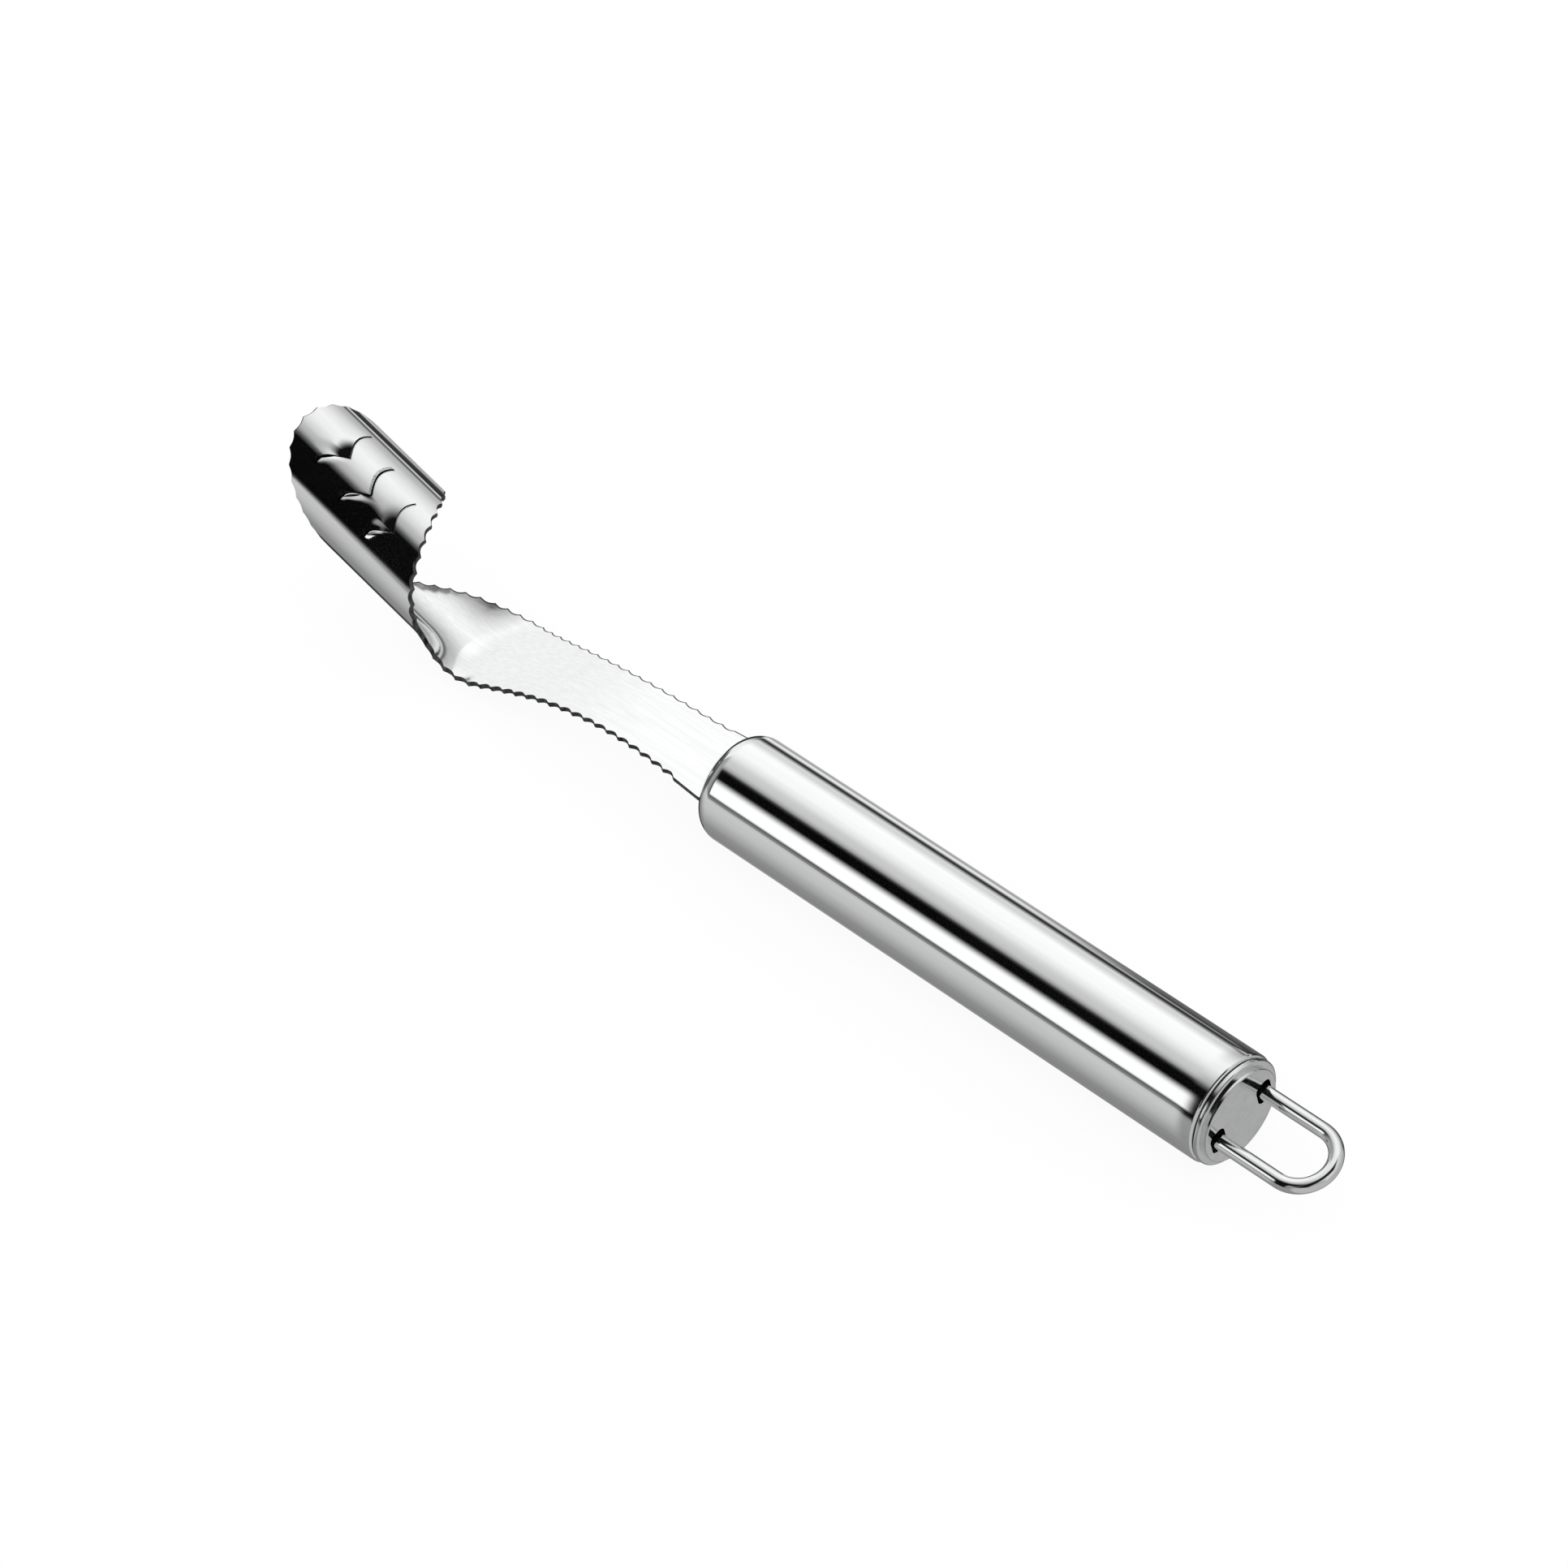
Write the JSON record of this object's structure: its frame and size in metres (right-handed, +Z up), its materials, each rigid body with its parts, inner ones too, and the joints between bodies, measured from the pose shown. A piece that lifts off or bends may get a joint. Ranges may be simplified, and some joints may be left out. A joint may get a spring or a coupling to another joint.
{
  "type": "chili corer",
  "caption": "All-steel hand corer: round tube handle, bowed serrated strip blade wound into a toothed coring head with pressed slits, and a wire hanging loop that slides in the end cap.",
  "frame": {"origin": "middle of the tool's bounding box, on the surface that the handle lies on", "axes": "+X along the handle towards the tip of the coring head, +Z up out of the trough of the blade, +Y towards the side where the leaf starts to wind"},
  "size_m": [0.2224, 0.0202, 0.034],
  "materials": {
    "handle_steel": "mirror polished stainless steel",
    "plug_steel": "plain turned steel",
    "blade_steel": "polished stainless sheet with fine lengthwise grain",
    "cap_steel": "polished stainless steel",
    "wire_steel": "polished stainless wire"
  },
  "bodies": {
    "tool": {"handle_tube": "handle_steel", "tang_plug": "plug_steel", "blade": "blade_steel", "end_cap": "cap_steel"},
    "loop": {"hanging_loop": "wire_steel"}
  },
  "joints": [
    {"name": "loop_slide", "type": "slide", "parent": "tool", "child": "loop", "axis": [1, 0, 0], "range_m": [0, 0.012]}
  ]
}
